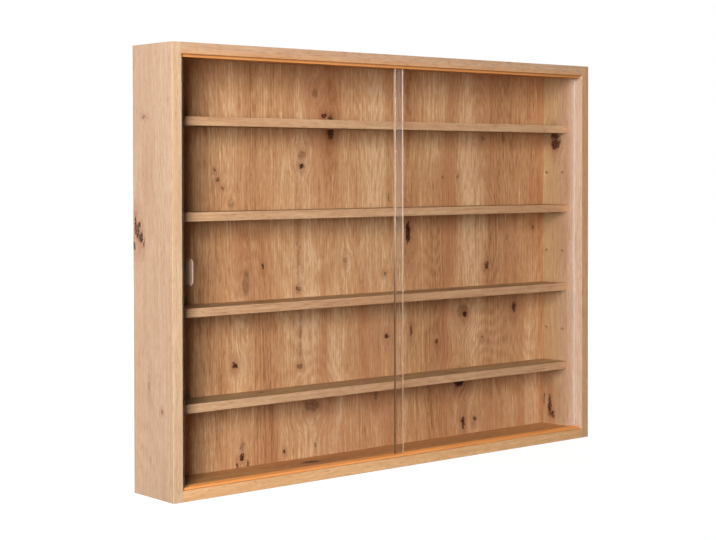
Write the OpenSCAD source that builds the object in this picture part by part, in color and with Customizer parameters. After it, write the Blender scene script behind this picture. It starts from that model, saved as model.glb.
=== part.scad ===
// Wall display case: an open-fronted melamine case with adjustable shelves
// and two glass panes that slide past each other in double-groove tracks.
// Millimetres. +Z is up and the front faces -Y. The origin is the middle of
// the footprint, on the surface that the case stands on.

/* [Case] */
// Overall width of the case
case_w = 800; // [500:10:1200]
// Overall height of the case
case_h = 600; // [560:5:800]
// Overall depth, from the front edges to the wall
case_d = 95; // [85:1:140]
// Thickness of the side, top and bottom boards
board_t = 15; // [14:0.5:19]
// Thickness of the strip glued over each front edge
band_t = 0.8; // [0.4:0.1:2]
// Width of the small chamfer along the edge strips
band_chamfer = 0.3; // [0.1:0.05:0.4]

/* [Back panel] */
// Thickness of the back panel
back_t = 3; // [2.5:0.5:5]
// Space left behind the back panel for the hangers
back_inset = 5; // [4.5:0.5:9]
// How far the back panel reaches into the boards around it
back_tongue = 5.8; // [4:0.2:7]
// Play of the back panel in its groove, on each side
back_play = 0.2; // [0.1:0.05:0.4]

/* [Shelves] */
// Thickness of a shelf
shelf_t = 12; // [8:0.5:16]
// Set-back of the shelves' front edges from the front of the case
shelf_setback = 34.5; // [24:0.5:45]
// Gap between a shelf and the boards and the panel around it
shelf_gap = 0.5; // [0.3:0.1:1.5]
// Height of the lowest row of support holes
first_row_z = 109; // [60:1:140]
// Height between neighbouring rows of support holes
row_pitch = 64; // [48:1:66]

/* [Shelf supports] */
// Diameter of a support hole
support_hole_d = 5; // [3:0.5:7]
// Depth of a support hole
support_hole_depth = 9; // [6:0.5:11]
// Radial play of a support pin in its hole
support_play = 0.05; // [0.02:0.01:0.1]
// Distance of the front supports from a shelf's front edge
front_support_inset = 10.5; // [6:0.5:20]
// Distance of the rear supports from a shelf's back edge
rear_support_inset = 6.5; // [5:0.5:20]
// Length of the tongue that carries the shelf
tongue_l = 7.5; // [5:0.5:14]
// Width of the tongue
tongue_w = 7; // [5:0.5:10]
// Thickness of the tongue
tongue_t = 2.5; // [1.5:0.5:4]

/* [Tracks] */
// Set-back of the tracks from the front of the case
track_setback = 4; // [2.5:0.5:8]
// Thickness of each upright lip of a track
lip_t = 2; // [1.5:0.25:3]
// Thickness of the web that joins the lips
web_t = 1; // [0.8:0.1:1.5]
// Full height of the lower track
lower_track_h = 5; // [4:0.5:8]
// Depth that the lower track is let into the bottom board
lower_track_sunk = 2; // [1.5:0.5:4]
// Full height of the upper track
upper_track_h = 9; // [8:0.5:12]
// Depth that the upper track is let into the top board
upper_track_sunk = 5; // [4:0.5:6]
// Play of a track in the groove that it is let into, on each side
track_play = 0.1; // [0.05:0.05:0.3]

/* [Glass panes] */
// Thickness of the glass
glass_t = 4; // [3:0.5:6]
// Play of a pane in its groove, on each side
glass_play = 0.5; // [0.3:0.1:1]
// Gap between a pane's lower edge and the floor of its groove
pane_seat_gap = 0.2; // [0.1:0.05:0.4]
// Gap between a shut pane and the side board
pane_end_gap = 0.5; // [0.3:0.1:1.5]
// Overlap of the two shut panes at the middle
pane_overlap = 11; // [6:1:40]
// Spare height left when a pane is lifted clear of the lower track
lift_spare = 0.5; // [0.3:0.1:1]
// Width of the ground arris on the panes' upright edges
arris = 0.4; // [0.2:0.1:0.8]
// Length of the ground finger pull
pull_l = 36; // [24:1:70]
// Width of the ground finger pull
pull_w = 12; // [8:0.5:18]
// Depth of the ground finger pull
pull_depth = 1.2; // [0.6:0.1:1.6]
// Distance of the finger pull's middle from the pane's outer edge
pull_inset = 15; // [12:0.5:40]
// Height of the finger pull's middle
pull_z = 300; // [200:5:400]

/* [Corner joints] */
// Distance of the cam connector from the front of the case
cam_from_front = 48; // [42:1:55]
// Distance of the cam's middle from the end of its board
cam_inset = 24; // [20:1:34]
// Diameter of the cam housing
cam_d = 15; // [12:0.5:16]
// Depth of the cam housing
cam_depth = 12; // [10:0.5:12.5]
// Play of the cam housing in its hole
cam_play = 0.1; // [0.05:0.05:0.2]
// Diameter of the cam bolt's shank
cam_bolt_d = 6; // [4:0.5:6.5]
// Diameter of the cam bolt's head
cam_bolt_head_d = 7; // [6.5:0.5:7.5]
// Diameter of the cam bolt's thread in the side board
cam_thread_d = 5; // [4:0.5:6]
// Depth that the cam bolt's thread reaches into the side board
cam_thread_l = 10.5; // [8:0.5:11.5]
// Diameter of a dowel
dowel_d = 6; // [5:0.5:8]
// Length of a dowel
dowel_l = 28; // [22:1:36]
// Depth that a dowel reaches into the side board
dowel_in_side = 9; // [6:0.5:11]
// Distance of each dowel from the cam connector
dowel_spacing = 18; // [13:1:19]
// Radial play of dowels and bolts in their holes
joint_play = 0.05; // [0.02:0.01:0.1]

/* [Hangers] */
// Distance of each hanger plate from the middle of the case
hanger_x = 200; // [100:5:210]
// Width of a hanger plate
hanger_w = 36; // [30:1:60]
// Height of a hanger plate
hanger_h = 42; // [38:1:60]
// Thickness of a hanger plate
hanger_t = 1.5; // [1:0.1:2]
// Distance of a hanger plate from the top of the case
hanger_drop = 1; // [0.5:0.5:2]
// Diameter of the round end that takes the wall screw's head
keyhole_d = 9; // [7:0.5:12]
// Width of the slot that the wall screw's shank rises into
keyhole_slot_w = 5; // [3:0.5:6]
// Rise of the slot above the round end
keyhole_rise = 10; // [7:1:14]
// Distance of the round end from the plate's lower edge
keyhole_from_edge = 9; // [7:0.5:14]
// Diameter of a hanger screw
screw_d = 3.5; // [2.5:0.5:4]
// Length of a hanger screw
screw_l = 16; // [10:1:20]
// Diameter of a hanger screw's countersunk head
screw_head_d = 6.4; // [5:0.2:6.4]
// Distance between the two screws of a hanger plate
screw_spacing = 24; // [18:1:28]
// Distance of the hanger screws from the top of the case
screw_drop = 6; // [4.5:0.5:6.5]

/* [Hidden] */

// Smoothness of the round forms
$fn = 48;
// Overrun that carries a cut cleanly past a face
cut = 1;
// Rows of support holes, counted up from the lowest
row_count = 7;
// Rows left empty between one shelf and the next, plus one
rows_per_shelf = 2;
shelf_count = 4;

inner_w = case_w - 2 * board_t;
inner_h = case_h - 2 * board_t;
inner_x = inner_w / 2;
front_y = -case_d / 2;
back_face_y = case_d - back_inset - back_t;
back_groove_depth = back_tongue + back_play;
back_groove_w = back_t + 2 * back_play;

shelf_w = inner_w - 2 * shelf_gap;
shelf_back_y = back_face_y - shelf_gap;
support_ys = [shelf_setback + front_support_inset, shelf_back_y - rear_support_inset];
pin_d = support_hole_d - 2 * support_play;
pin_end_gap = 0.5;

channel_w = glass_t + 2 * glass_play;
track_w = 3 * lip_t + 2 * channel_w;
lower_floor_z = board_t - lower_track_sunk + web_t;
lower_lip_z = board_t - lower_track_sunk + lower_track_h;
upper_ceiling_z = case_h - board_t + upper_track_sunk - web_t;

pane_bottom_z = lower_floor_z + pane_seat_gap;
pane_lift = lower_lip_z - pane_bottom_z + lift_spare;
pane_h = upper_ceiling_z - pane_lift - pane_bottom_z;
pane_w = (inner_w - 2 * pane_end_gap + pane_overlap) / 2;
front_channel_y = track_setback + lip_t;
rear_channel_y = front_channel_y + channel_w + lip_t;
// Radius of the grinding wheel that leaves a pull of this width and depth
pull_r = (pull_w * pull_w / 4 + pull_depth * pull_depth) / (2 * pull_depth);

end_gap = 1;
dowel_ys = [cam_from_front - dowel_spacing, cam_from_front + dowel_spacing];
cam_bolt_hole_d = cam_bolt_head_d + 1;
cam_slot_depth = 2;
cam_slot_w = 1.6;
recess_share = 0.6;

screw_head_h = (screw_head_d - screw_d) / 2;
screw_z = case_h - screw_drop;
hanger_top_z = case_h - hanger_drop;
keyhole_z = hanger_top_z - hanger_h + keyhole_from_edge;

oak_side = [0.83, 0.69, 0.56];
oak_board = [0.74, 0.55, 0.40];
oak_back = [0.72, 0.55, 0.41];
oak_edge = [0.83, 0.66, 0.50];
track_orange = [0.93, 0.62, 0.32];
glass_green = [0.80, 0.90, 0.86, 0.35];
zinc = [0.72, 0.73, 0.75];
beech = [0.87, 0.74, 0.56];

function row_z(row) = first_row_z + row * row_pitch;
function shelf_z(index) = row_z((index - 1) * rows_per_shelf);

// Moves children from the front face at Y = 0 to the part's own origin
module from_front() {
    translate([0, front_y, 0])
        children();
}

// Block centred on X, from y0 to y1 and from z0 to z1
module block(width, y0, y1, z0, z1) {
    translate([-width / 2, y0, z0])
        cube([width, y1 - y0, z1 - z0]);
}

// Round bar along X from x0 to x1
module bar_x(d, x0, x1) {
    translate([x0, 0, 0])
        rotate([0, 90, 0])
            cylinder(d = d, h = x1 - x0);
}

// Strip lying against y = band_t, with its front corners chamfered
module strip_profile(width) {
    polygon([
        [-width / 2, band_t],
        [-width / 2, band_chamfer],
        [-width / 2 + band_chamfer, 0],
        [width / 2 - band_chamfer, 0],
        [width / 2, band_chamfer],
        [width / 2, band_t]
    ]);
}

// Strip along X over a board edge of the given thickness
module lying_strip(length, thickness) {
    rotate([0, 90, 0])
        linear_extrude(height = length, center = true)
            strip_profile(thickness);
}

// Support holes in the inner face of the side board on the right
module support_holes() {
    for (row = [0 : row_count - 1])
        for (y = support_ys)
            translate([0, y, row_z(row)])
                bar_x(support_hole_d, inner_x - cut, inner_x + support_hole_depth);
}

// Holes for the connectors at one height in the right side board
module side_joint_holes(z) {
    translate([0, cam_from_front, z])
        bar_x(cam_thread_d + 2 * joint_play, inner_x - cut, inner_x + cam_thread_l + end_gap);
    for (y = dowel_ys)
        translate([0, y, z])
            bar_x(dowel_d + 2 * joint_play, inner_x - cut, inner_x + dowel_in_side + end_gap);
}

// The side board on the right; the left one is its mirror image
module side_board() {
    color(oak_side)
        from_front()
            difference() {
                translate([inner_x, band_t, 0])
                    cube([board_t, case_d - band_t, case_h]);
                support_holes();
                side_joint_holes(board_t / 2);
                side_joint_holes(case_h - board_t / 2);
                translate([inner_x - cut, back_face_y - back_play, board_t - back_groove_depth])
                    cube([back_groove_depth + cut, back_groove_w, inner_h + 2 * back_groove_depth]);
            }
}

module left_side_board() {
    mirror([1, 0, 0])
        side_board();
}

module right_side_board() {
    side_board();
}

// Bores for the connectors in both ends of a lying board, at mid thickness
module end_bores(z) {
    for (side = [0, 1])
        mirror([side, 0, 0]) {
            translate([0, cam_from_front, z])
                bar_x(cam_bolt_hole_d, inner_x - cam_inset, inner_x + cut);
            for (y = dowel_ys)
                translate([0, y, z])
                    bar_x(dowel_d + 2 * joint_play, inner_x - dowel_l + dowel_in_side - end_gap, inner_x + cut);
        }
}

// Holes for the cam housings, open downwards
module cam_holes() {
    for (side = [-1, 1])
        translate([side * (inner_x - cam_inset), cam_from_front, -cut])
            cylinder(d = cam_d + 2 * cam_play, h = cam_depth + cut);
}

// A lying board seen from below: its outer face is at z = 0
module lying_board(track_sunk) {
    difference() {
        block(inner_w, band_t, case_d, 0, board_t);
        end_bores(board_t / 2);
        cam_holes();
        block(inner_w + 2 * cut, track_setback - track_play, track_setback + track_w + track_play,
            board_t - track_sunk, board_t + cut);
        block(inner_w + 2 * cut, back_face_y - back_play, back_face_y + back_t + back_play,
            board_t - back_groove_depth, board_t + cut);
    }
}

module bottom_board() {
    color(oak_board)
        from_front()
            lying_board(lower_track_sunk);
}

// Rebate and screw holes for one hanger plate in the top board's rear edge
module hanger_seat() {
    translate([-hanger_w / 2 - track_play, case_d - hanger_t, case_h - board_t - cut])
        cube([hanger_w + 2 * track_play, hanger_t + cut, board_t + 2 * cut]);
    at_hanger_screws()
        countersunk_screw(joint_play, screw_l + end_gap);
}

module top_board() {
    color(oak_board)
        from_front()
            difference() {
                translate([0, 0, case_h])
                    mirror([0, 0, 1])
                        lying_board(upper_track_sunk);
                for (side = [-1, 1])
                    translate([side * hanger_x, 0, 0])
                        hanger_seat();
            }
}

module back_panel() {
    color(oak_back)
        from_front()
            block(inner_w + 2 * back_tongue, back_face_y, back_face_y + back_t,
                board_t - back_tongue, case_h - board_t + back_tongue);
}

module side_edge_strip(side) {
    color(oak_edge)
        from_front()
            translate([side * (inner_x + board_t / 2), 0, 0])
                linear_extrude(height = case_h)
                    strip_profile(board_t);
}

module left_edge_strip() {
    side_edge_strip(-1);
}

module right_edge_strip() {
    side_edge_strip(1);
}

module bottom_edge_strip() {
    color(oak_edge)
        from_front()
            translate([0, 0, board_t / 2])
                lying_strip(inner_w, board_t);
}

module top_edge_strip() {
    color(oak_edge)
        from_front()
            translate([0, 0, case_h - board_t / 2])
                lying_strip(inner_w, board_t);
}

module shelf(index) {
    color(oak_board)
        from_front()
            block(shelf_w, shelf_setback + band_t, shelf_back_y, shelf_z(index), shelf_z(index) + shelf_t);
}

module shelf_edge_strip(index) {
    color(oak_edge)
        from_front()
            translate([0, shelf_setback, shelf_z(index) + shelf_t / 2])
                lying_strip(shelf_w, shelf_t);
}

// One support at the origin: pin to +X in the board, tongue to -X
module support() {
    bar_x(pin_d, -cut / 2, support_hole_depth - pin_end_gap);
    translate([-tongue_l, -tongue_w / 2, -tongue_t])
        cube([tongue_l, tongue_w, tongue_t]);
}

// Keeps the pin's stub inside the tongue's thickness on the open side
module trimmed_support() {
    difference() {
        support();
        translate([-tongue_l - cut, -tongue_w, 0])
            cube([tongue_l + cut, 2 * tongue_w, pin_d]);
    }
}

module shelf_supports() {
    color(zinc)
        from_front()
            for (side = [0, 1])
                mirror([side, 0, 0])
                    for (index = [1 : shelf_count])
                        for (y = support_ys)
                            translate([inner_x, y, shelf_z(index)])
                                trimmed_support();
}

// Cross-section of a double-groove track, lips pointing up, base at 0
module track_profile(height) {
    difference() {
        square([track_w, height]);
        for (x = [lip_t, 2 * lip_t + channel_w])
            translate([x, web_t])
                square([channel_w, height]);
    }
}

module track(height) {
    rotate([90, 0, 90])
        linear_extrude(height = inner_w, center = true)
            track_profile(height);
}

module lower_track() {
    color(track_orange)
        from_front()
            translate([0, track_setback, board_t - lower_track_sunk])
                track(lower_track_h);
}

module upper_track() {
    color(track_orange)
        from_front()
            translate([0, track_setback, case_h - board_t + upper_track_sunk])
                mirror([0, 0, 1])
                    track(upper_track_h);
}

// Oblong hollow that a grinding wheel leaves in a face at y = 0
module pull_hollow() {
    reach = (pull_l - pull_w) / 2;
    translate([0, pull_depth - pull_r, -reach])
        cylinder(r = pull_r, h = 2 * reach);
    for (side = [-1, 1])
        translate([0, pull_depth - pull_r, side * reach])
            sphere(r = pull_r);
}

// A pane with its outer edge at x = 0 and its body towards +X
module pane() {
    difference() {
        linear_extrude(height = pane_h)
            polygon([
                [0, arris],
                [arris, 0],
                [pane_w - arris, 0],
                [pane_w, arris],
                [pane_w, glass_t - arris],
                [pane_w - arris, glass_t],
                [arris, glass_t],
                [0, glass_t - arris]
            ]);
        translate([pull_inset, 0, pull_z - pane_bottom_z])
            pull_hollow();
    }
}

module left_pane() {
    color(glass_green)
        from_front()
            translate([pane_end_gap - inner_x, front_channel_y + glass_play, pane_bottom_z])
                pane();
}

module right_pane() {
    color(glass_green)
        from_front()
            translate([inner_x - pane_end_gap, rear_channel_y + glass_play, pane_bottom_z])
                mirror([1, 0, 0])
                    pane();
}

// Repeats children at the four corner joints, with the side board towards +X
// and the outer face of the lying board towards -Z
module at_corners() {
    for (side = [0, 1])
        mirror([side, 0, 0]) {
            translate([inner_x, 0, board_t / 2])
                children();
            translate([inner_x, 0, case_h - board_t / 2])
                mirror([0, 0, 1])
                    children();
        }
}

// One bolt as a turned profile: thread towards +X, head at the cam's middle
module cam_bolt() {
    thread_r = cam_thread_d / 2;
    shank_r = cam_bolt_d / 2;
    head_r = cam_bolt_head_d / 2;
    rotate([0, 90, 0])
        rotate_extrude()
            polygon([
                [0, -cam_inset - head_r],
                [head_r / 2, -cam_inset - head_r],
                [head_r, -cam_inset - head_r / 2],
                [head_r, -cam_inset + head_r / 2],
                [shank_r, -cam_inset + head_r],
                [shank_r, 0],
                [thread_r, 0],
                [thread_r, cam_thread_l],
                [0, cam_thread_l]
            ]);
}

module cam_bolts() {
    color(zinc)
        from_front()
            at_corners()
                translate([0, cam_from_front, 0])
                    cam_bolt();
}

// One housing, its open face at z = -board_t / 2, bolt pocket towards +X
module cam_housing() {
    difference() {
        translate([0, 0, -board_t / 2])
            cylinder(d = cam_d, h = cam_depth);
        bar_x(cam_bolt_hole_d, -cam_bolt_hole_d / 2, cam_d);
        for (turn = [0, 90])
            rotate([0, 0, turn])
                translate([-cam_d * recess_share / 2, -cam_slot_w / 2, -board_t / 2 - cut])
                    cube([cam_d * recess_share, cam_slot_w, cam_slot_depth + cut]);
    }
}

module cam_housings() {
    color(zinc)
        from_front()
            at_corners()
                translate([-cam_inset, cam_from_front, 0])
                    cam_housing();
}

module dowels() {
    color(beech)
        from_front()
            at_corners()
                for (y = dowel_ys)
                    translate([0, y, 0])
                        bar_x(dowel_d, dowel_in_side - dowel_l, dowel_in_side);
}

// Countersunk screw pointing to -Y, its head's face at y = 0
module countersunk_screw(play, length) {
    rotate([90, 0, 0]) {
        cylinder(d = screw_d + 2 * play, h = length);
        cylinder(d1 = screw_head_d + 2 * play, d2 = screw_d + 2 * play, h = screw_head_h);
    }
}

module at_hanger_screws() {
    for (side = [-1, 1])
        translate([side * screw_spacing / 2, case_d, screw_z])
            children();
}

module hanger_plate() {
    color(zinc)
        from_front()
            difference() {
                block(hanger_w, case_d - hanger_t, case_d, hanger_top_z - hanger_h, hanger_top_z);
                at_hanger_screws()
                    countersunk_screw(joint_play, 2 * hanger_t);
                translate([0, case_d + cut, keyhole_z])
                    rotate([90, 0, 0])
                        cylinder(d = keyhole_d, h = hanger_t + 2 * cut);
                translate([0, case_d + cut, keyhole_z + keyhole_rise])
                    rotate([90, 0, 0])
                        cylinder(d = keyhole_slot_w, h = hanger_t + 2 * cut);
                block(keyhole_slot_w, case_d - hanger_t - cut, case_d + cut, keyhole_z, keyhole_z + keyhole_rise);
            }
}

module left_hanger_plate() {
    translate([-hanger_x, 0, 0])
        hanger_plate();
}

module right_hanger_plate() {
    translate([hanger_x, 0, 0])
        hanger_plate();
}

module hanger_screws() {
    color(zinc)
        from_front()
            for (side = [-1, 1])
                translate([side * hanger_x, 0, 0])
                    at_hanger_screws()
                        difference() {
                            countersunk_screw(0, screw_l);
                            for (turn = [0, 90])
                                rotate([0, turn, 0])
                                    block(screw_d, -screw_head_h * recess_share, cut,
                                        -screw_head_h * recess_share / 2, screw_head_h * recess_share / 2);
                        }
}

left_side_board();
right_side_board();
top_board();
bottom_board();
back_panel();
left_edge_strip();
right_edge_strip();
top_edge_strip();
bottom_edge_strip();
shelf(1);  // shelf_1
shelf(2);  // shelf_2
shelf(3);  // shelf_3
shelf(4);  // shelf_4
shelf_edge_strip(1);  // shelf_edge_strip_1
shelf_edge_strip(2);  // shelf_edge_strip_2
shelf_edge_strip(3);  // shelf_edge_strip_3
shelf_edge_strip(4);  // shelf_edge_strip_4
shelf_supports();
lower_track();
upper_track();
left_pane();
right_pane();
cam_bolts();
cam_housings();
dowels();
left_hanger_plate();
right_hanger_plate();
hanger_screws();
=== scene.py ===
import math

import bmesh
import bpy
from mathutils import Matrix, Vector


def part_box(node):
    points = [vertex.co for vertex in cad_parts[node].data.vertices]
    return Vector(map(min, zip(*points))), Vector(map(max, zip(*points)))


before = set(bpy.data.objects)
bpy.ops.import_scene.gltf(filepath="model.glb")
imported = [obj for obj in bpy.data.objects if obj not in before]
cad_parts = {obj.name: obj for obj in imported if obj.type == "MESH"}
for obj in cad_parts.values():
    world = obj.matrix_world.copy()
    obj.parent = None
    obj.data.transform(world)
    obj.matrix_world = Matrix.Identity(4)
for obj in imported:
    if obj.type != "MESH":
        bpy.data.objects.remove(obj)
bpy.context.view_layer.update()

# Camera, worked out from the corners of the case in the photo. Metres and radians
CAMERA_PLACE = Vector((-1.525065, -1.762282, 0.431586))
CAMERA_YAW = -0.697946
CAMERA_PITCH = -0.019288
CAMERA_ROLL = 0.001764
CAMERA_LENS_MM = 79.20
CAMERA_SENSOR_MM = 36
CAMERA_SHIFT_Y = -0.09548
CAMERA_NEAR = 0.05
CAMERA_FAR = 60

# Floor. The eye sees it grey and lifted to white, and the case gets warm light back from it. Its front and
# rear part at places along Y, and the lift changes with the distance from the middle. Metres
FLOOR_HALF = 9.0
FLOOR_GREY = (0.140, 0.140, 0.140, 1.0)
FLOOR_BOUNCE = (0.150, 0.090, 0.045, 1.0)
FLOOR_DIM_BOUNCE = (0.010, 0.008, 0.005, 1.0)
FLOOR_FRONT_Y = -0.2
FLOOR_REAR_Y = 0.3
FLOOR_LIFT_NEAR = 0.94
FLOOR_LIFT_FAR = 1.0
FLOOR_LIFT_SPAN = (0.8, 3.0)

# Lamps. The key is a tall soft box to the left of the camera, and the rear ones light the back and the top
AIM = Vector((0.0, 0.0, 0.30))
KEY_PLACE = Vector((-2.52, -2.08, 0.98))
KEY_WIDTH = 0.95
KEY_HEIGHT = 1.7
KEY_POWER = 165
REAR_LEFT_PLACE = Vector((-0.9, 3.2, 2.3))
REAR_RIGHT_PLACE = Vector((2.2, 3.0, 2.0))
REAR_SIZE = 2.2
REAR_POWER = 75

# World. The spans run along the Y of a direction, which is negative towards the front
WHITE = (1.0, 1.0, 1.0, 1.0)
WARM_AMBIENT = (1.0, 0.70, 0.42, 1.0)
WARM_SPAN = (0.3, 0.0)
FRONT_AMBIENT = 0.015
REAR_AMBIENT = 0.50
AMBIENT_SPAN = (0.1, 0.7)
FRONT_GLOSS = 0.01
REAR_GLOSS = 1.0
GLOSS_SPAN = (-0.1, 0.3)
SHEEN_SHARE = 0.6

# Grain layers: cycles per metre across the grain and along it, then detail and roughness of the noise
BROAD_GRAIN = (15, 1.0, 2.0, 0.5)
STREAK_GRAIN = (330, 7.0, 3.0, 0.6)
FINE_GRAIN = (560, 60, 2.0, 0.6)
PORE_GRAIN = (760, 80, 1.0, 0.5)
FIGURE_GRAIN = (9, 2.2, 1.0, 0.4)
RED_GRAIN = (20, 2.6, 2.0, 0.5)
WANDER_GRAIN = (7, 6, 1.0, 0.5)
FIGURE_LINES = 30
WANDER = 0.010
SEED_SHIFT = (1.0, 1.7, 0.6)

# Weight of each layer in the tone that picks the oak's colour. The broad layer's is the part's own
STREAK_WEIGHT = 0.50
FINE_WEIGHT = 0.44
FIGURE_WEIGHT = 0.028

# Where the red patches and the pores start and are full on their noise, and how strong they are
RED_SPAN = (0.46, 0.72)
RED_SHARE = 0.55
PORE_SPAN = (0.58, 0.72)
PORE_SHARE = 0.30

# One knot. Each reach is in multiples of its half sizes, from where the effect ends to where it is full
CORE_REACH = (1.15, 0.65)
HALO_REACH = (3.4, 0.8)
PUSH_REACH = (4.5, 0.4)
PUSH = -0.75
PUSH_ALONG = 0.05
DRAWN_OUT = 0.45

# Shake that makes the outlines of knots ragged, in metres. This noise and those that follow give their
# cycles per metre along X, Y and Z, then detail and roughness
SHAKE_ACROSS_NOISE = ((190, 190, 190), 4.0, 0.70)
SHAKE_ALONG_NOISE = ((170, 165, 160), 4.0, 0.70)
SHAKE_ACROSS = 0.011
SHAKE_ALONG = 0.017

# Stain, growth rings and core of the knots
STAIN_SPAN = (0.38, 0.60, 0.25, 1.0)
STAIN_SHARE = 0.60
RING_COUNT = 30.0
RING_WANDER = 14.0
RING_SPAN = (-0.2, 1.0)
RING_HALO_SPAN = (0.02, 0.35)
RING_SHARE = 0.16
BROKEN_NOISE = ((330, 330, 330), 3.0, 0.6)
BROKEN_SPAN = (0.38, 0.54, 0.72, 1.30)

# Finish of the oak: roughness, shine and relief
OAK_ROUGH = 0.44
STREAK_ROUGH = 0.22
PORE_ROUGH = 0.12
OAK_SPECULAR = 0.20
FINE_HEIGHT = 0.6
PORE_HEIGHT = -0.8
CORE_HEIGHT = -0.5
OAK_BUMP = 0.30
OAK_RELIEF = 0.0004

# How far a face has to look to the rear to be raw board, and to the right to take the far tint, which on the
# right board is painted shade
REAR_FACING = (0.6, 0.8)
RIGHT_FACING = (0.2, 0.6)

# Knots in the decor: place across and along the grain, half width, half height, darkness. Metres
BACK_KNOTS = [
    (-0.0680, 0.4950, 0.0075, 0.0200, 0.80),
    (-0.0740, 0.5140, 0.0050, 0.0040, 0.80),
    (-0.1225, 0.4395, 0.0045, 0.0038, 0.95),
    (-0.1215, 0.4560, 0.0070, 0.0060, 0.35),
    (-0.0950, 0.5455, 0.0070, 0.0080, 0.35),
    (-0.2750, 0.4330, 0.0016, 0.0018, 0.85),
    (-0.2695, 0.4210, 0.0018, 0.0040, 0.60),
    (-0.2605, 0.4090, 0.0016, 0.0018, 0.80),
    (-0.2450, 0.3850, 0.0050, 0.0040, 0.25),
    (-0.2215, 0.2740, 0.0065, 0.0200, 0.34),
    (-0.1915, 0.2957, 0.0026, 0.0036, 0.90),
    (-0.1285, 0.3100, 0.0022, 0.0560, 0.22),
    (-0.1285, 0.2620, 0.0028, 0.0026, 0.70),
    (-0.1260, 0.1930, 0.0018, 0.0400, 0.34),
    (-0.1255, 0.1490, 0.0046, 0.0036, 0.50),
    (-0.0880, 0.4075, 0.0014, 0.0018, 0.55),
    (-0.0405, 0.3010, 0.0048, 0.0048, 0.25),
    (0.0450, 0.3900, 0.0020, 0.0060, 0.45),
    (0.0375, 0.2765, 0.0036, 0.0026, 0.65),
    (-0.0080, 0.2673, 0.0013, 0.0015, 0.60),
    (0.0840, 0.3380, 0.0052, 0.0175, 1.00),
    (0.0840, 0.5480, 0.0045, 0.0250, 0.30),
    (0.0410, 0.1805, 0.0050, 0.0044, 0.75),
    (0.0905, 0.1870, 0.0026, 0.0085, 0.70),
    (0.1445, 0.1655, 0.0034, 0.0050, 0.65),
    (-0.2405, 0.1600, 0.0050, 0.0042, 0.85),
    (-0.2290, 0.0290, 0.0040, 0.0070, 0.80),
    (-0.2350, 0.0170, 0.0024, 0.0050, 0.75),
    (-0.2230, 0.0190, 0.0024, 0.0060, 0.80),
    (-0.2290, 0.0440, 0.0018, 0.0080, 0.40),
    (-0.1535, 0.0285, 0.0022, 0.0030, 0.80),
    (-0.0970, 0.0300, 0.0018, 0.0046, 0.50),
    (-0.1040, 0.0900, 0.0160, 0.0090, 0.40),
    (0.0190, 0.0950, 0.0042, 0.0100, 0.35),
    (0.1570, 0.4220, 0.0018, 0.0018, 0.45),
    (0.1900, 0.4230, 0.0024, 0.0040, 0.45),
    (0.2440, 0.4840, 0.0034, 0.0034, 0.45),
    (0.2920, 0.4825, 0.0034, 0.0034, 0.35),
    (0.2540, 0.2815, 0.0042, 0.0066, 0.75),
    (0.2990, 0.3250, 0.0026, 0.0070, 0.35),
    (0.3590, 0.3395, 0.0034, 0.0042, 0.45),
    (0.2045, 0.2050, 0.0048, 0.0056, 0.95),
    (0.1990, 0.2130, 0.0105, 0.0100, 0.30),
    (0.3155, 0.2090, 0.0050, 0.0090, 0.75),
    (0.2425, 0.1670, 0.0026, 0.0026, 0.75),
    (0.1925, 0.0985, 0.0120, 0.0075, 1.00),
    (0.2010, 0.0335, 0.0042, 0.0120, 0.80),
    (0.2270, 0.0375, 0.0050, 0.0055, 0.70),
]
LEFT_KNOTS = [
    (0.0420, 0.3650, 0.0026, 0.0080, 0.84),
    (0.0325, 0.3610, 0.0032, 0.0046, 0.80),
    (0.0370, 0.3530, 0.0052, 0.0120, 0.71),
    (0.0330, 0.3440, 0.0040, 0.0080, 0.84),
    (0.0280, 0.3360, 0.0032, 0.0060, 0.84),
    (0.0355, 0.3320, 0.0028, 0.0070, 0.80),
    (0.0198, 0.5039, 0.0050, 0.0018, 0.50),
    (0.0104, 0.1480, 0.0020, 0.0050, 0.40),
    (-0.0207, 0.1168, 0.0026, 0.0026, 0.60),
]
RIGHT_KNOTS = [
    (0.0130, 0.4890, 0.0110, 0.0065, 0.75),
    (0.0125, 0.4750, 0.0045, 0.0100, 0.85),
    (0.0250, 0.0450, 0.0042, 0.0190, 0.85),
    (0.0340, 0.0560, 0.0024, 0.0090, 0.65),
    (0.0215, 0.0300, 0.0032, 0.0070, 0.75),
]
SHELF_KNOTS = [
    (0.0200, -0.2100, 0.0040, 0.0060, 0.55),
    (0.0050, 0.1450, 0.0050, 0.0080, 0.60),
]
TOP_KNOTS = [
    (0.0080, -0.1300, 0.0075, 0.0180, 0.85),
    (-0.0180, 0.2600, 0.0030, 0.0070, 0.60),
]

# What each part's oak colour is multiplied by, linear red, green and blue. Spans are an axis and two places
# These tints were fitted part by part to how bright each part comes out under these lamps, so besides each
# part's colour they hold painted light and shade
BACK_TINT = (0.948, 0.914, 0.887)
LEFT_TINT = (0.779, 0.901, 1.119)
RIGHT_TINT = (0.922, 1.136, 1.546)
# Painted shade on the right board: darker behind the panes and on its outer face
RIGHT_SHADE_TINT = (0.736, 0.822, 0.810)
RIGHT_SHADE_SPAN = ("Y", -0.034, 0.025)
TOP_TINT = (1.050, 1.100, 1.210)
# Painted shade: the bottom board and the shelves are tinted darker, as their tops lie in shade
BOTTOM_SHADE_TINT = (0.965, 0.860, 0.636)
SHELF_SHADE_TINT = (0.660, 0.730, 0.700)
LEFT_STRIP_TINT = (0.969, 1.106, 1.281)
RIGHT_STRIP_TINT = (0.967, 0.988, 1.022)
TOP_STRIP_TINT = (0.930, 1.000, 1.150)
TOP_STRIP_LOW_TINT = (1.004, 0.930, 0.851)
TOP_STRIP_LOW_SPAN = ("Z", 0.594, 0.585)
BOTTOM_STRIP_TINT = (1.194, 1.217, 1.096)
SHELF_STRIP_TINT = (1.078, 1.160, 1.300)

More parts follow.
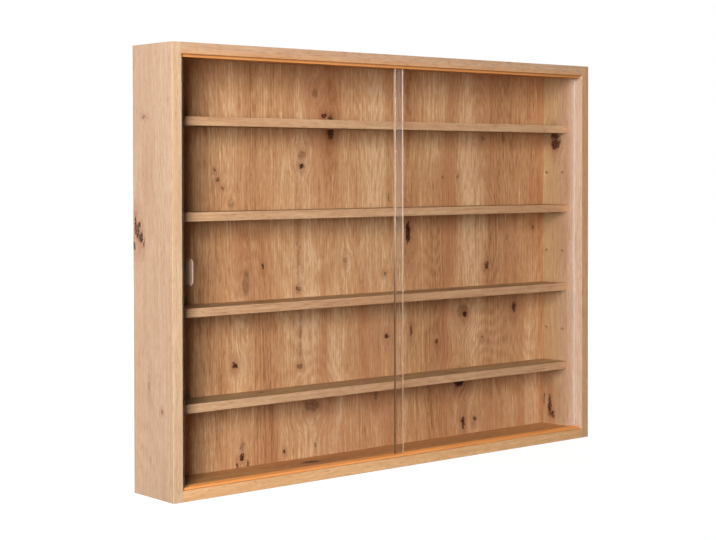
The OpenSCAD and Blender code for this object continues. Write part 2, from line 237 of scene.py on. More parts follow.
# Colours of the oak decor in plain light, sRGB 0 to 255
OAK_DEEP = (138, 92, 60)
OAK_DARK = (166, 117, 80)
OAK_MID = (203, 155, 115)
OAK_LIGHT = (218, 175, 134)
OAK_PALE = (230, 193, 154)
OAK_WHITE = (242, 214, 182)
OAK_RED = (188, 127, 90)
KNOT_HALO = (144, 84, 60)
KNOT_CORE = (62, 26, 14)
PORE_BROWN = (134, 84, 54)

# Places of the oak colours on the tone, counted from the middle of the tones
OAK_STOPS = [
    (-0.36, OAK_DEEP),
    (-0.19, OAK_DARK),
    (-0.05, OAK_MID),
    (0.06, OAK_LIGHT),
    (0.20, OAK_PALE),
    (0.42, OAK_WHITE),
]

# Raw chipboard and fibreboard, sRGB 0 to 255
CHIP_DARK = (142, 104, 66)
CHIP_LIGHT = (214, 184, 140)
HDF_DARK = (110, 78, 50)
HDF_LIGHT = (150, 112, 76)
CHIP_STOPS = [(0.0, CHIP_DARK), (0.35, CHIP_LIGHT), (1.0, OAK_PALE)]
CHIP_SCALE = (330, 330, 330)
FIBRE_STOPS = [(0.25, HDF_DARK), (0.75, HDF_LIGHT)]
FIBRE_NOISE = ((520, 520, 520), 4.0, 0.7)

# Track plastic: its colours, sRGB 0 to 255, with their places on the tone, then its lines, cloud and finish
LOWER_TRACK = ((226, 146, 78), (240, 163, 92), (250, 178, 108))
# The upper track is the same plastic in darker colours: painted shade
UPPER_TRACK_SHADED = ((200, 130, 70), (216, 146, 84), (228, 160, 98))
TRACK_PLACES = (0.30, 0.52, 0.75)
DRAWN_NOISE = ((3, 900, 900), 2.0, 0.5)
DRAWN_WEIGHT = 0.55
TRACK_CLOUD_NOISE = ((12, 60, 60), 3.0, 0.5)
TRACK_CLOUD_WEIGHT = 0.45
TRACK_ROUGH = (0.2, 0.8, 0.30, 0.48)
TRACK_SPECULAR = 0.40
TRACK_BUMP = 0.20
TRACK_RELIEF = 0.0003

# Metal: colours, sRGB 0 to 255, roughness, then the brushing and the dull spots that all metal has
STEEL_DARK = (150, 150, 152)
STEEL_LIGHT = (196, 197, 200)
STEEL_ROUGH = 0.28
ZINC_DARK = (168, 170, 172)
ZINC_LIGHT = (212, 214, 218)
ZINC_ROUGH = 0.22
BRUSHED_NOISE = ((2600, 2600, 120), 2.0, 0.6)
BRUSHED_WEIGHT = 0.4
DULL_NOISE = ((160, 160, 160), 3.0, 0.6)
DULL_WEIGHT = 0.6
METAL_SPAN = (0.3, 0.7)
METAL_ROUGH_RISE = 0.18
METAL_BUMP = 0.15
METAL_RELIEF = 0.0001

# Beech: colours, sRGB 0 to 255, and the grain and flecks
BEECH_STOPS = [(0.3, (214, 176, 132)), (0.7, (234, 204, 166))]
BEECH_FLECK = (168, 118, 78)
BEECH_NOISE = ((30, 700, 700), 2.0, 0.5)
BEECH_ROUGH = (0.3, 0.7, 0.55, 0.70)
BEECH_BUMP = 0.25
BEECH_RELIEF = 0.0003
FLECK_NOISE = ((420, 1500, 1500), 1.0, 0.5)
FLECK_SPAN = (0.58, 0.72)
FLECK_SHARE = 0.5

# Glass: colours of its cut edges and of its painted reflections, sRGB 0 to 255, what light passes it, its
# smears and its grit
# The cut edges' beige and brown are a painted reflection of the wood; the green is the glass's own
EDGE_HIGH = (200, 170, 144)
LEFT_EDGE_LOW = (160, 126, 92)
RIGHT_EDGE_LOW = (104, 64, 30)
EDGE_GREEN = (176, 184, 160)
GLASS_REFLECTION = (250, 250, 252)
GLASS_PASSING = (0.93, 0.915, 0.88, 1.0)
GLASS_IOR = 1.5
GREASE_NOISE = ((9, 9, 14), 3.0, 0.6)
GREASE_ROUGH = (0.45, 0.8, 0.0, 0.008)
GRIT_NOISE = ((1500, 1500, 900), 3.0, 0.7)
GRIT_SPAN = (0.35, 0.75, 0.0, 0.15)

# Ground places of a pane: how deep under its faces they lie in metres, and how they face
GLASS_THICK = 0.004
CUT_DEPTH = (0.00005, 0.0002)
WALL_FLATNESS = (0.70, 0.50)
RIM_FLATNESS = (0.975, 0.93)
# Only the side of a pull's rim that faces the key is made pale, a painted highlight
RIM_FACING = (-0.10, -0.25)
PULL_GROUND = 0.03
GROUND_OPAQUE = 0.90
GROUND_ROUGH = 0.45

# Painted reflections: lines beside a pane's leading edge and a glint beside the other. Distances from the edge
# and heights in metres
REFLECTION_WIDTH = (0.0115, 0.0105)
REFLECTION_BY_HEIGHT = (0.22, 0.42, 0.0, 0.034)
REFLECTION_LINES = 1700.0
REFLECTION_LINE_SPAN = (-0.3, 0.8, 0.5, 1.5)
REFLECTION_WHITENING = 20.0
GLINT_OUTER = (0.0064, 0.0050)
GLINT_INNER = (0.0010, 0.0022, 0.0, 0.18)

# Where a cut edge turns from its low colour to the high one: by height, or away from the leading edge. Metres
EDGE_HEIGHT = (0.24, 0.38)
EDGE_AWAY = (0.02, 0.03)


def linear(colour):
    """Linear RGBA of an sRGB colour given as 0 to 255."""
    values = []
    for channel in colour:
        share = channel / 255
        if share <= 0.04045:
            values.append(share / 12.92)
        else:
            values.append(((share + 0.055) / 1.055) ** 2.4)
    return (*values, 1.0)


class Graph:
    """Short ways to add and join shader nodes."""

    def __init__(self, tree):
        self.tree = tree

    def add(self, kind):
        return self.tree.nodes.new(kind)

    def feed(self, socket, value):
        """Links an output to the socket, or sets a plain value on it."""
        if isinstance(value, bpy.types.NodeSocket):
            self.tree.links.new(value, socket)
        elif value is not None:
            socket.default_value = value

    def math(self, operation, first, second=None, clamp=False):
        node = self.add("ShaderNodeMath")
        node.operation = operation
        node.use_clamp = clamp
        self.feed(node.inputs[0], first)
        self.feed(node.inputs[1], second)
        return node.outputs[0]

    def weighed(self, *pairs):
        """The sum of each value times its weight."""
        total = None
        for value, weight in pairs:
            share = self.math("MULTIPLY", value, weight)
            total = share if total is None else self.math("ADD", total, share)
        return total

    def centred(self, noise, size):
        """A noise laid about zero and stretched to the size."""
        return self.math("MULTIPLY", self.math("SUBTRACT", noise, 0.5), size)

    def distance(self, value, place):
        return self.math("ABSOLUTE", self.math("SUBTRACT", value, place))

    def span(self, value, low, high, new_low=0.0, new_high=1.0):
        """A smooth step of value from low to high, which runs down where low is the larger of the two."""
        node = self.add("ShaderNodeMapRange")
        node.interpolation_type = "SMOOTHSTEP"
        self.feed(node.inputs["Value"], value)
        node.inputs["From Min"].default_value = low
        node.inputs["From Max"].default_value = high
        node.inputs["To Min"].default_value = new_low
        node.inputs["To Max"].default_value = new_high
        return node.outputs["Result"]

    def mix(self, share, first, second, blend="MIX"):
        node = self.add("ShaderNodeMix")
        node.data_type = "RGBA"
        node.blend_type = blend
        self.feed(node.inputs["Factor"], share)
        self.feed(node.inputs[6], first)
        self.feed(node.inputs[7], second)
        return node.outputs[2]

    def paint(self, share, under, colour):
        """An sRGB colour laid over what is under it."""
        return self.mix(share, under, linear(colour))

    def ramp(self, value, stops):
        """A colour ramp with stops of a place and an sRGB colour."""
        node = self.add("ShaderNodeValToRGB")
        self.feed(node.inputs[0], value)
        elements = node.color_ramp.elements
        for end in (0, -1):
            elements[end].position = stops[end][0]
            elements[end].color = linear(stops[end][1])
        for place, colour in stops[1:-1]:
            elements.new(place).color = linear(colour)
        return node.outputs[0]

    def split(self, vector):
        """The X, Y and Z of a vector."""
        node = self.add("ShaderNodeSeparateXYZ")
        self.feed(node.inputs[0], vector)
        return node.outputs

    def vector_math(self, operation, first, second=None):
        node = self.add("ShaderNodeVectorMath")
        node.operation = operation
        self.feed(node.inputs[0], first)
        self.feed(node.inputs[1], second)
        return node.outputs

    def noise(self, vector, scale, detail, rough):
        node = self.add("ShaderNodeTexNoise")
        self.feed(node.inputs["Vector"], self.vector_math("MULTIPLY", vector, scale)["Vector"])
        node.inputs["Scale"].default_value = 1.0
        node.inputs["Detail"].default_value = detail
        node.inputs["Roughness"].default_value = rough
        return node.outputs[0]

    def bump(self, height, strength, distance):
        node = self.add("ShaderNodeBump")
        node.inputs["Strength"].default_value = strength
        node.inputs["Distance"].default_value = distance
        self.feed(node.inputs["Height"], height)
        return node.outputs[0]


def new_material(name):
    """A material with an empty tree, its Graph and the socket that its surface goes to."""
    material = bpy.data.materials.new(name)
    material.use_nodes = True
    material.node_tree.nodes.clear()
    graph = Graph(material.node_tree)
    output = graph.add("ShaderNodeOutputMaterial")
    return material, graph, output.inputs["Surface"]


def solid_material(name):
    """A material, its Graph, its Principled shader and the place on the part where its textures are read."""
    material, graph, surface = new_material(name)
    shader = graph.add("ShaderNodeBsdfPrincipled")
    graph.feed(surface, shader.outputs[0])
    place = graph.add("ShaderNodeTexCoord").outputs["Object"]
    return material, graph, shader, place


def knot_group():
    """One knot: a dark core, a brown halo drawn out along the grain, and a push that bends the grain aside.
    The place that it hands on is already pushed, so that the knots are worked out one after another."""
    group = bpy.data.node_groups.new("oak_knot", "ShaderNodeTree")
    carried = ["Across", "Along", "Core", "Halo"]
    for name in carried + ["Knot across", "Knot along", "Half width", "Half height", "Darkness"]:
        group.interface.new_socket(name, in_out="INPUT", socket_type="NodeSocketFloat")
    for name in carried:
        group.interface.new_socket(name, in_out="OUTPUT", socket_type="NodeSocketFloat")
    graph = Graph(group)
    start = graph.add("NodeGroupInput").outputs
    end = graph.add("NodeGroupOutput").inputs
    off_across = graph.math("SUBTRACT", start["Across"], start["Knot across"])
    off_along = graph.math("SUBTRACT", start["Along"], start["Knot along"])
    share_across = graph.math("DIVIDE", off_across, start["Half width"])
    share_along = graph.math("DIVIDE", off_along, start["Half height"])
    square_across = graph.math("MULTIPLY", share_across, share_across)
    square_along = graph.math("MULTIPLY", share_along, share_along)
    reach = graph.math("SQRT", graph.math("ADD", square_across, square_along))
    long_square = graph.math("MULTIPLY", square_along, DRAWN_OUT)
    long_reach = graph.math("SQRT", graph.math("ADD", square_across, long_square))
    core = graph.math("MULTIPLY", graph.span(reach, *CORE_REACH), start["Darkness"])
    halo = graph.math("MULTIPLY", graph.span(long_reach, *HALO_REACH), start["Darkness"])
    bend = graph.math("MULTIPLY", off_across, graph.span(long_reach, *PUSH_REACH, 0.0, PUSH))
    graph.feed(end["Across"], graph.math("ADD", start["Across"], bend))
    graph.feed(end["Along"], graph.math("ADD", start["Along"], graph.math("MULTIPLY", bend, PUSH_ALONG)))
    graph.feed(end["Core"], graph.math("MAXIMUM", core, start["Core"]))
    graph.feed(end["Halo"], graph.math("MAXIMUM", halo, start["Halo"]))
    return group


KNOT_GROUP = knot_group()


def add_knots(graph, across, along, knots):
    """The joined core and halo of the listed knots, and the place across that they push the grain to."""
    core = 0.0
    halo = 0.0
    for knot_across, knot_along, half_width, half_height, darkness in knots:
        node = graph.add("ShaderNodeGroup")
        node.node_tree = KNOT_GROUP
        graph.feed(node.inputs["Across"], across)
        graph.feed(node.inputs["Along"], along)
        graph.feed(node.inputs["Core"], core)
        graph.feed(node.inputs["Halo"], halo)
        node.inputs["Knot across"].default_value = knot_across
        node.inputs["Knot along"].default_value = knot_along
        node.inputs["Half width"].default_value = half_width
        node.inputs["Half height"].default_value = half_height
        node.inputs["Darkness"].default_value = darkness
        across = node.outputs["Across"]
        along = node.outputs["Along"]
        core = node.outputs["Core"]
        halo = node.outputs["Halo"]
    return core, halo, across


def ragged_knots(graph, place, across, along, knots):
    """Core and halo of the knots, drawn at a shaken place so that their outlines are ragged, and how far they
    push the grain aside."""
    shake_across = graph.noise(place, *SHAKE_ACROSS_NOISE)
    shake_along = graph.noise(place, *SHAKE_ALONG_NOISE)
    ragged_across = graph.math("ADD", across, graph.centred(shake_across, SHAKE_ACROSS))
    ragged_along = graph.math("ADD", along, graph.centred(shake_along, SHAKE_ALONG))
    core, halo, pushed = add_knots(graph, ragged_across, ragged_along, knots)
    return core, halo, graph.math("SUBTRACT", pushed, ragged_across)


def grain_layer(graph, place, grain, along_axis):
    """One layer of the grain: a noise that is stretched along it."""
    across_scale, along_scale, detail, rough = grain
    scale = [along_scale if axis == along_axis else across_scale for axis in "XYZ"]
    return graph.noise(place, scale, detail, rough)


def grain_place(graph, place, axes, push, seed):
    """Where the grain is read. It wanders a little, knots push it aside, and the seed sets parts apart."""
    across_axis, along_axis = axes
    wander = graph.centred(grain_layer(graph, place, WANDER_GRAIN, along_axis), WANDER)
    shift = graph.add("ShaderNodeCombineXYZ")
    graph.feed(shift.inputs[across_axis], graph.math("ADD", push, wander))
    moved = graph.vector_math("ADD", place, shift.outputs[0])
    apart = [seed * share for share in SEED_SHIFT]
    return graph.vector_math("ADD", moved["Vector"], apart)["Vector"]


def oak_cast(graph, parts, facing, tint, far_tint, far_span):
    """What the oak's colour is multiplied by. The far tint takes over along the far span's axis, from its first
    place to its second, and on faces that look to +X. On the right board the far tint is painted shade."""
    near = (*tint, 1.0)
    if far_tint is None:
        return near
    axis, start, end = far_span
    far = graph.span(parts[axis], start, end)
    far = graph.math("MAXIMUM", far, graph.span(facing["X"], *RIGHT_FACING))
    return graph.mix(far, near, (*far_tint, 1.0))


def knotted_colour(graph, colour, place, broad, streak, core, halo):
    """The oak's colour with the brown stain, the growth rings and the broken dark core of its knots."""
    stain = graph.math("MULTIPLY", halo, graph.span(streak, *STAIN_SPAN))
    colour = graph.paint(graph.math("MULTIPLY", stain, STAIN_SHARE), colour, KNOT_HALO)
    rings = graph.math("SINE", graph.weighed((halo, RING_COUNT), (broad, RING_WANDER)))
    rings = graph.math("MULTIPLY", graph.span(rings, *RING_SPAN), graph.span(halo, *RING_HALO_SPAN))
    colour = graph.paint(graph.math("MULTIPLY", rings, RING_SHARE), colour, KNOT_HALO)
    broken = graph.span(graph.noise(place, *BROKEN_NOISE), *BROKEN_SPAN)
    return graph.paint(graph.math("MULTIPLY", core, broken, True), colour, KNOT_CORE)


def oak_finish(graph, shader, streak, fine, pores, core):
    """Satin roughness that follows the grain, and the small relief of grain, pores and knots."""
    rough = graph.math("ADD", graph.math("MULTIPLY", streak, STREAK_ROUGH), OAK_ROUGH)
    rough = graph.math("ADD", rough, graph.math("MULTIPLY", pores, PORE_ROUGH), True)
    graph.feed(shader.inputs["Roughness"], rough)
    shader.inputs["Specular IOR Level"].default_value = OAK_SPECULAR
    height = graph.weighed((fine, FINE_HEIGHT), (pores, PORE_HEIGHT), (core, CORE_HEIGHT))
    graph.feed(shader.inputs["Normal"], graph.bump(height, OAK_BUMP, OAK_RELIEF))


def oak(name, axes, knots, rear, tint, seed, broad_share, calm, far_tint=None, far_span=None):
    """Knotty oak melamine. The axes are the one across the grain and the one along it, and rear draws the faces
    that look to the rear. The broad share weighs the broad layer, and a larger calm evens out the grain."""
    material, graph, shader, place = solid_material(name)
    across_axis, along_axis = axes
    parts = graph.split(place)
    facing = graph.split(graph.add("ShaderNodeTexCoord").outputs["Normal"])
    core, halo, push = ragged_knots(graph, place, parts[across_axis], parts[along_axis], knots)
    wood_place = grain_place(graph, place, axes, push, seed)
    broad = grain_layer(graph, wood_place, BROAD_GRAIN, along_axis)
    streak = grain_layer(graph, wood_place, STREAK_GRAIN, along_axis)
    fine = grain_layer(graph, wood_place, FINE_GRAIN, along_axis)
    pores = graph.span(grain_layer(graph, wood_place, PORE_GRAIN, along_axis), *PORE_SPAN)
    red_patch = graph.span(grain_layer(graph, wood_place, RED_GRAIN, along_axis), *RED_SPAN)
    contour = grain_layer(graph, wood_place, FIGURE_GRAIN, along_axis)
    figure = graph.math("SINE", graph.math("MULTIPLY", contour, FIGURE_LINES * math.tau))

    tone = graph.weighed(
        (broad, broad_share),
        (streak, STREAK_WEIGHT),
        (fine, FINE_WEIGHT),
        (figure, FIGURE_WEIGHT),
    )
    middle = (broad_share + STREAK_WEIGHT + FINE_WEIGHT) / 2
    colour = graph.ramp(tone, [(middle + offset * calm, shade) for offset, shade in OAK_STOPS])
    colour = graph.paint(graph.math("MULTIPLY", red_patch, RED_SHARE / calm), colour, OAK_RED)
    cast = oak_cast(graph, parts, facing, tint, far_tint, far_span)
    colour = graph.mix(1.0, colour, cast, "MULTIPLY")
    colour = graph.paint(graph.math("MULTIPLY", pores, PORE_SHARE), colour, PORE_BROWN)
    colour = knotted_colour(graph, colour, place, broad, streak, core, halo)
    if rear is not None:
        colour = graph.mix(graph.span(facing["Y"], *REAR_FACING), colour, rear(graph, place))
    graph.feed(shader.inputs["Base Color"], colour)
    oak_finish(graph, shader, streak, fine, pores, core)
    return material


def chipboard(graph, place):
    """The raw chipboard of an unbanded edge."""
    cells = graph.add("ShaderNodeTexVoronoi")
    graph.feed(cells.inputs["Vector"], graph.vector_math("MULTIPLY", place, CHIP_SCALE)["Vector"])
    cells.inputs["Scale"].default_value = 1.0
    chips = graph.add("ShaderNodeSeparateColor")
    graph.feed(chips.inputs[0], cells.outputs["Color"])
    return graph.ramp(chips.outputs[0], CHIP_STOPS)


def fibreboard(graph, place):
    """The plain brown rear face of the thin back panel."""
    return graph.ramp(graph.noise(place, *FIBRE_NOISE), FIBRE_STOPS)


def track_plastic(name, colours):
    """Honey-coloured plastic, drawn lengthwise and a little cloudy, in three colours, the darkest first."""
    material, graph, shader, place = solid_material(name)
    drawn = graph.noise(place, *DRAWN_NOISE)
    cloud = graph.noise(place, *TRACK_CLOUD_NOISE)
    tone = graph.weighed((drawn, DRAWN_WEIGHT), (cloud, TRACK_CLOUD_WEIGHT))
    graph.feed(shader.inputs["Base Color"], graph.ramp(tone, list(zip(TRACK_PLACES, colours))))
    graph.feed(shader.inputs["Roughness"], graph.span(drawn, *TRACK_ROUGH))
    shader.inputs["Specular IOR Level"].default_value = TRACK_SPECULAR
    graph.feed(shader.inputs["Normal"], graph.bump(drawn, TRACK_BUMP, TRACK_RELIEF))
    return material


def bright_metal(name, dark, light, roughness):
    """Plated or rolled metal with fine brushing and small spots of dulling."""
    material, graph, shader, place = solid_material(name)
    brushed = graph.noise(place, *BRUSHED_NOISE)
    dull = graph.noise(place, *DULL_NOISE)
    tone = graph.weighed((brushed, BRUSHED_WEIGHT), (dull, DULL_WEIGHT))
    graph.feed(shader.inputs["Base Color"], graph.ramp(tone, list(zip(METAL_SPAN, (dark, light)))))
    shader.inputs["Metallic"].default_value = 1.0
    rough = graph.span(tone, *METAL_SPAN, roughness, roughness + METAL_ROUGH_RISE)
    graph.feed(shader.inputs["Roughness"], rough)
    graph.feed(shader.inputs["Normal"], graph.bump(brushed, METAL_BUMP, METAL_RELIEF))
    return material


def beech_wood():
    """Pale beech of the dowels, with its short flecks."""
    material, graph, shader, place = solid_material("beech_wood")
    grain = graph.noise(place, *BEECH_NOISE)
    flecks = graph.span(graph.noise(place, *FLECK_NOISE), *FLECK_SPAN)
    colour = graph.ramp(grain, BEECH_STOPS)
    colour = graph.paint(graph.math("MULTIPLY", flecks, FLECK_SHARE), colour, BEECH_FLECK)
    graph.feed(shader.inputs["Base Color"], colour)
    graph.feed(shader.inputs["Roughness"], graph.span(grain, *BEECH_ROUGH))
    graph.feed(shader.inputs["Normal"], graph.bump(grain, BEECH_BUMP, BEECH_RELIEF))
    return material


def ground_glass(graph, depth, facing):
    """Where a pane is ground: its cut edges, the rim of the finger pull that faces the key, and the rest of the
    pull faintly. The rim takes the ground look only on the side that faces the key, a painted highlight. Depth
    counts from the front face."""
    flatness = graph.math("ABSOLUTE", facing["Y"])
    inside = graph.math("MINIMUM", depth, graph.math("SUBTRACT", GLASS_THICK, depth))
    cut = graph.span(inside, *CUT_DEPTH)
    rim = graph.span(flatness, *RIM_FLATNESS)
    highlight_rim = graph.math("MULTIPLY", rim, graph.span(facing["X"], *RIM_FACING))
    wall = graph.math("MAXIMUM", highlight_rim, graph.span(flatness, *WALL_FLATNESS))
    return graph.math("MAXIMUM", graph.math("MULTIPLY", cut, wall), graph.math("MULTIPLY", cut, PULL_GROUND))


def edge_reflections(graph, height, from_lead, from_trail):
    """Painted reflections: faint upright lines beside the leading edge, stronger high up, and a pale glint
    beside the other one.
    """
    lines = graph.span(graph.math("SINE", graph.math("MULTIPLY", from_lead, REFLECTION_LINES)), *REFLECTION_LINE_SPAN)
    painted_reflection = graph.math("MULTIPLY", graph.span(from_lead, *REFLECTION_WIDTH), graph.span(height, *REFLECTION_BY_HEIGHT))
    glint = graph.math("MULTIPLY", graph.span(from_trail, *GLINT_OUTER), graph.span(from_trail, *GLINT_INNER))
    return graph.math("MAXIMUM", graph.math("MULTIPLY", painted_reflection, lines), glint)


def cut_edge_colour(graph, place, height, from_lead, low_colour):
    """Colour of the cut edges, a painted reflection of the wood around them: the low one at the foot of the
    leading edge, pale elsewhere, partly green.
    """
    pale = graph.math("MAXIMUM", graph.span(height, *EDGE_HEIGHT), graph.span(from_lead, *EDGE_AWAY))
    colour = graph.paint(pale, linear(low_colour), EDGE_HIGH)
    grit = graph.noise(place, *GRIT_NOISE)
    return graph.paint(graph.span(grit, *GRIT_SPAN), colour, EDGE_GREEN)


def float_glass(name, front, lead, trail, low_colour):
    """Clear float glass with a few smears. Front is the depth of its front face, lead the place of the edge
    in the middle of the case and trail that of the other one. Light passes it to what is behind."""
    material, graph, surface = new_material(name)
    shader = graph.add("ShaderNodeBsdfPrincipled")
    coordinates = graph.add("ShaderNodeTexCoord").outputs
    place = coordinates["Object"]
    parts = graph.split(place)
    from_lead = graph.distance(parts["X"], lead)
    from_trail = graph.distance(parts["X"], trail)
    depth = graph.math("SUBTRACT", parts["Y"], front)
    ground = ground_glass(graph, depth, graph.split(coordinates["Normal"]))
    painted_reflection = edge_reflections(graph, parts["Z"], from_lead, from_trail)
    edge_colour = cut_edge_colour(graph, place, parts["Z"], from_lead, low_colour)
    # The painted reflection lines and glint are whitened into the clear glass and make it opaque there
    clear_colour = graph.paint(graph.math("MULTIPLY", painted_reflection, REFLECTION_WHITENING, True), WHITE, GLASS_REFLECTION)
    graph.feed(shader.inputs["Base Color"], graph.mix(ground, clear_colour, edge_colour))
    opaque = graph.math("MAXIMUM", graph.math("MULTIPLY", ground, GROUND_OPAQUE), painted_reflection)
    graph.feed(shader.inputs["Transmission Weight"], graph.math("SUBTRACT", 1.0, opaque))
    shader.inputs["IOR"].default_value = GLASS_IOR
    smears = graph.span(graph.noise(place, *GREASE_NOISE), *GREASE_ROUGH)
    rough = graph.math("ADD", smears, graph.math("MULTIPLY", ground, GROUND_ROUGH))
    graph.feed(shader.inputs["Roughness"], rough)

    passing = graph.add("ShaderNodeBsdfTransparent")
    passing.inputs["Color"].default_value = GLASS_PASSING
    rays = graph.add("ShaderNodeLightPath").outputs
    blend = graph.add("ShaderNodeMixShader")
    graph.feed(blend.inputs[0], graph.math("MAXIMUM", rays["Is Shadow Ray"], rays["Is Diffuse Ray"]))
    graph.feed(blend.inputs[1], shader.outputs[0])
    graph.feed(blend.inputs[2], passing.outputs[0])
    graph.feed(surface, blend.outputs[0])
    return material


def dress(material, *nodes):
    """Gives CAD nodes their material."""
    for name in nodes:
        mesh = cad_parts[name].data
        mesh.materials.clear()
        mesh.materials.append(material)


def dress_boards():
    """Back, sides, top, bottom and shelves."""
    back = oak("oak_back", "XZ", BACK_KNOTS, fibreboard, BACK_TINT, seed=0.0, broad_share=0.70, calm=1.0)
    dress(back, "back_panel")
    left = oak("oak_left_side", "YZ", LEFT_KNOTS, chipboard, LEFT_TINT, seed=1.3, broad_share=0.35, calm=2.1)
    dress(left, "left_side_board")
    right = oak(
        "oak_right_side", "YZ", RIGHT_KNOTS, chipboard, RIGHT_TINT, seed=2.9, broad_share=0.40, calm=1.7,
        far_tint=RIGHT_SHADE_TINT, far_span=RIGHT_SHADE_SPAN,
    )
    dress(right, "right_side_board")
    top = oak("oak_top", "YX", TOP_KNOTS, chipboard, TOP_TINT, seed=4.1, broad_share=0.35, calm=2.0)
    dress(top, "top_board")
    bottom = oak("oak_bottom", "YX", TOP_KNOTS, chipboard, BOTTOM_SHADE_TINT, seed=4.9, broad_share=0.35, calm=1.3)
    dress(bottom, "bottom_board")
    shelf = oak("oak_shelves", "YX", SHELF_KNOTS, chipboard, SHELF_SHADE_TINT, seed=5.7, broad_share=0.35, calm=1.3)
    dress(shelf, "shelf_1", "shelf_2", "shelf_3", "shelf_4")


def dress_strips():
    """The strips along the front edges, which have no knots and no raw face."""
    left = oak("oak_left_strip", "XZ", [], None, LEFT_STRIP_TINT, seed=7.2, broad_share=0.15, calm=2.2)
    dress(left, "left_edge_strip")
    right = oak("oak_right_strip", "XZ", [], None, RIGHT_STRIP_TINT, seed=6.4, broad_share=0.15, calm=2.2)
    dress(right, "right_edge_strip")
    top = oak(
        "oak_top_strip", "ZX", [], None, TOP_STRIP_TINT, seed=8.8, broad_share=0.15, calm=2.0,
        far_tint=TOP_STRIP_LOW_TINT, far_span=TOP_STRIP_LOW_SPAN,
    )
    dress(top, "top_edge_strip")
    bottom = oak("oak_bottom_strip", "ZX", [], None, BOTTOM_STRIP_TINT, seed=8.1, broad_share=0.15, calm=2.0)
    dress(bottom, "bottom_edge_strip")
    shelf = oak("oak_shelf_strips", "ZX", [], None, SHELF_STRIP_TINT, seed=9.9, broad_share=0.15, calm=1.7)
    dress(shelf, "shelf_edge_strip_1", "shelf_edge_strip_2", "shelf_edge_strip_3", "shelf_edge_strip_4")


def dress_tracks_and_panes():
    """Sliding tracks and the glass that runs in them."""
    dress(track_plastic("lower_track_plastic", LOWER_TRACK), "lower_track")
    dress(track_plastic("upper_track_shaded_plastic", UPPER_TRACK_SHADED), "upper_track")
    left_low, left_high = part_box("left_pane")
    right_low, right_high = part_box("right_pane")
    dress(float_glass("left_glass", left_low.y, left_high.x, left_low.x, LEFT_EDGE_LOW), "left_pane")
    dress(float_glass("right_glass", right_low.y, right_low.x, right_high.x, RIGHT_EDGE_LOW), "right_pane")


def dress_fittings():
    """Hanger plates, small metal fittings and dowels."""
    steel = bright_metal("rolled_steel", STEEL_DARK, STEEL_LIGHT, STEEL_ROUGH)
    dress(steel, "left_hanger_plate", "right_hanger_plate")
    zinc = bright_metal("zinc_plate", ZINC_DARK, ZINC_LIGHT, ZINC_ROUGH)
    dress(zinc, "shelf_supports", "cam_bolts", "cam_housings", "hanger_screws")
    dress(beech_wood(), "dowels")


def floor_material():
    """Pale floor that keeps the shadow and is lifted to white for the eye and through glass."""
    material, graph, surface = new_material("pale_floor")
    point = graph.add("ShaderNodeTexCoord").outputs["Object"]
    depth = graph.split(point)["Y"]
    rays = graph.add("ShaderNodeLightPath").outputs
    mirrored = graph.math("MAXIMUM", rays["Is Glossy Ray"], rays["Is Transmission Ray"])

    matt = graph.add("ShaderNodeBsdfDiffuse")
    dimmed = graph.math("MULTIPLY", mirrored, graph.span(depth, FLOOR_REAR_Y, FLOOR_FRONT_Y))
    bounce = graph.mix(dimmed, FLOOR_BOUNCE, FLOOR_DIM_BOUNCE)
    graph.feed(matt.inputs["Color"], graph.mix(rays["Is Camera Ray"], bounce, FLOOR_GREY))

    lift = graph.add("ShaderNodeEmission")
    lift.inputs["Color"].default_value = WHITE
    gloss = graph.span(depth, FLOOR_FRONT_Y, FLOOR_REAR_Y, FRONT_GLOSS, REAR_GLOSS)
    seen = graph.math("MAXIMUM", rays["Is Camera Ray"], graph.math("MULTIPLY", mirrored, gloss))
    distance = graph.vector_math("LENGTH", point)["Value"]
    amount = graph.span(distance, *FLOOR_LIFT_SPAN, FLOOR_LIFT_NEAR, FLOOR_LIFT_FAR)
    graph.feed(lift.inputs["Strength"], graph.math("MULTIPLY", seen, amount))

    total = graph.add("ShaderNodeAddShader")
    graph.feed(total.inputs[0], matt.outputs[0])
    graph.feed(total.inputs[1], lift.outputs[0])
    graph.feed(surface, total.outputs[0])
    return material


def lay_floor():
    mesh = bpy.data.meshes.new("floor")
    shape = bmesh.new()
    bmesh.ops.create_grid(shape, x_segments=4, y_segments=4, size=FLOOR_HALF)
    shape.to_mesh(mesh)
    shape.free()
    mesh.materials.append(floor_material())
    floor = bpy.data.objects.new("floor", mesh)
    bpy.context.scene.collection.objects.link(floor)


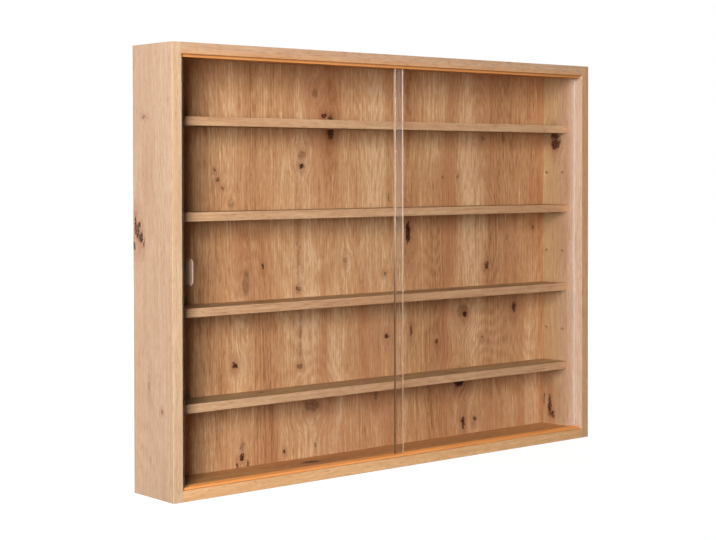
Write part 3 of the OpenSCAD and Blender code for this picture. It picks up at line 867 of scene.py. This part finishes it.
def light_world():
    """White background for the eye and through glass. The studio in front of the case is dim and warm for all
    other rays, so that the panes stay clear and the shadows brown."""
    world = bpy.data.worlds.new("studio")
    world.use_nodes = True
    world.node_tree.nodes.clear()
    graph = Graph(world.node_tree)
    output = graph.add("ShaderNodeOutputWorld")
    background = graph.add("ShaderNodeBackground")
    depth = graph.split(graph.add("ShaderNodeTexCoord").outputs["Generated"])["Y"]
    rays = graph.add("ShaderNodeLightPath").outputs
    ambient = graph.span(depth, *AMBIENT_SPAN, FRONT_AMBIENT, REAR_AMBIENT)
    gloss = graph.span(depth, *GLOSS_SPAN, FRONT_GLOSS, REAR_GLOSS)
    sheen = graph.math("MULTIPLY", rays["Is Glossy Ray"], SHEEN_SHARE)
    mirrored = graph.math("MAXIMUM", sheen, rays["Is Transmission Ray"])
    lit = graph.math("MAXIMUM", ambient, graph.math("MULTIPLY", mirrored, gloss))
    graph.feed(background.inputs["Strength"], graph.math("MAXIMUM", rays["Is Camera Ray"], lit))
    unseen = graph.math("SUBTRACT", 1.0, rays["Is Camera Ray"])
    warm = graph.math("MULTIPLY", graph.span(depth, *WARM_SPAN), unseen)
    graph.feed(background.inputs["Color"], graph.mix(warm, WHITE, WARM_AMBIENT))
    graph.feed(output.inputs["Surface"], background.outputs[0])
    bpy.context.scene.world = world


def add_lamp(name, place, width, height, power):
    """A soft box that looks at the middle of the case."""
    data = bpy.data.lights.new(name, "AREA")
    data.shape = "RECTANGLE"
    data.size = width
    data.size_y = height
    data.energy = power
    lamp = bpy.data.objects.new(name, data)
    lamp.location = place
    lamp.visible_camera = False
    lamp.rotation_euler = (AIM - place).to_track_quat("-Z", "Y").to_euler()
    bpy.context.scene.collection.objects.link(lamp)


def place_camera():
    data = bpy.data.cameras.new("camera")
    data.sensor_fit = "HORIZONTAL"
    data.sensor_width = CAMERA_SENSOR_MM
    data.lens = CAMERA_LENS_MM
    data.shift_y = CAMERA_SHIFT_Y
    data.clip_start = CAMERA_NEAR
    data.clip_end = CAMERA_FAR
    camera = bpy.data.objects.new("camera", data)
    yaw = Matrix.Rotation(CAMERA_YAW, 4, "Z")
    pitch = Matrix.Rotation(CAMERA_PITCH, 4, "X")
    roll = Matrix.Rotation(CAMERA_ROLL, 4, "Y")
    level = Matrix.Rotation(math.pi / 2, 4, "X")
    camera.matrix_world = Matrix.Translation(CAMERA_PLACE) @ yaw @ pitch @ roll @ level
    bpy.context.scene.collection.objects.link(camera)
    bpy.context.scene.camera = camera


dress_boards()
dress_strips()
dress_tracks_and_panes()
dress_fittings()
lay_floor()
light_world()
add_lamp("key", KEY_PLACE, KEY_WIDTH, KEY_HEIGHT, KEY_POWER)
add_lamp("rear_left", REAR_LEFT_PLACE, REAR_SIZE, REAR_SIZE, REAR_POWER)
add_lamp("rear_right", REAR_RIGHT_PLACE, REAR_SIZE, REAR_SIZE, REAR_POWER)
place_camera()
bpy.context.scene.view_settings.view_transform = "Standard"
